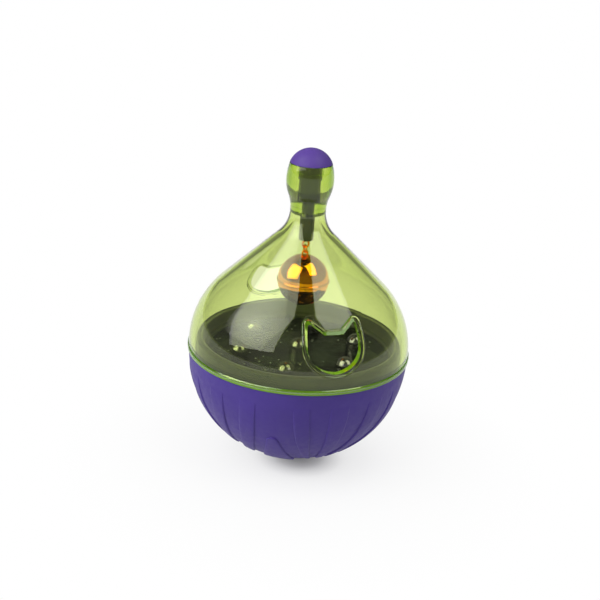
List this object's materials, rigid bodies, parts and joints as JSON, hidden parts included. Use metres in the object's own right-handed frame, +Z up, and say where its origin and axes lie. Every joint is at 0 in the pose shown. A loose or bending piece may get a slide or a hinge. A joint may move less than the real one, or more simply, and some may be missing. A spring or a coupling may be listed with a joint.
{
  "type": "treat dispenser",
  "caption": "Roly-poly treat dispenser with a weighted soft ball base, a clear green teardrop dome with cat-head outlets, and a jingle bell hung over a tray with bumps.",
  "frame": {"origin": "middle of the small flat foot under the ball base, on the floor", "axes": "+Z up through the knob; the outlets face -Y and +Y; +X to the right of one who looks at the -Y outlet"},
  "size_m": [0.105, 0.105, 0.1496],
  "materials": {
    "purple_soft": "soft matte, purple",
    "cap_soft": "soft matte, lilac",
    "black_gloss": "polished black",
    "grey_shell": "plain moulded grey",
    "clear_green": "clear, tinted yellow-green",
    "dark_seal": "matte dark",
    "iron": "raw casting",
    "steel": "plain steel",
    "gold": "polished gold-coloured"
  },
  "bodies": {
    "base": {"base_cover": "purple_soft", "base_shell": "grey_shell", "counterweight": "iron", "weight_washer": "steel", "weight_screw": "steel", "feeding_tray": "black_gloss", "tray_screws": "steel"},
    "seal": {"seal_ring": "dark_seal"},
    "dome": {"dome": "clear_green", "neck_knob": "clear_green", "top_cap": "cap_soft", "neck_stem": "black_gloss", "bell_rod": "black_gloss", "screw_eye": "gold"},
    "link": {"jump_ring": "gold"},
    "bell": {"bell_loop": "gold", "bell_upper": "gold", "bell_lower": "gold", "bell_pea": "steel"}
  },
  "joints": [
    {"name": "dome_turn", "type": "hinge", "parent": "base", "child": "seal", "pos_m": [0, 0, 0.0514], "axis": [0, 0, 1], "range_deg": [0, 60]},
    {"name": "dome_lift", "type": "slide", "parent": "seal", "child": "dome", "axis": [0, 0, 1], "range_m": [0, 0.06]},
    {"name": "ring_swing", "type": "hinge", "parent": "dome", "child": "link", "pos_m": [0, 0, 0.10215], "axis": [1, 0, 0], "range_deg": [-30, 30]},
    {"name": "bell_swing", "type": "hinge", "parent": "link", "child": "bell", "pos_m": [0, 0, 0.0995], "axis": [0, 1, 0], "range_deg": [-30, 30]}
  ]
}
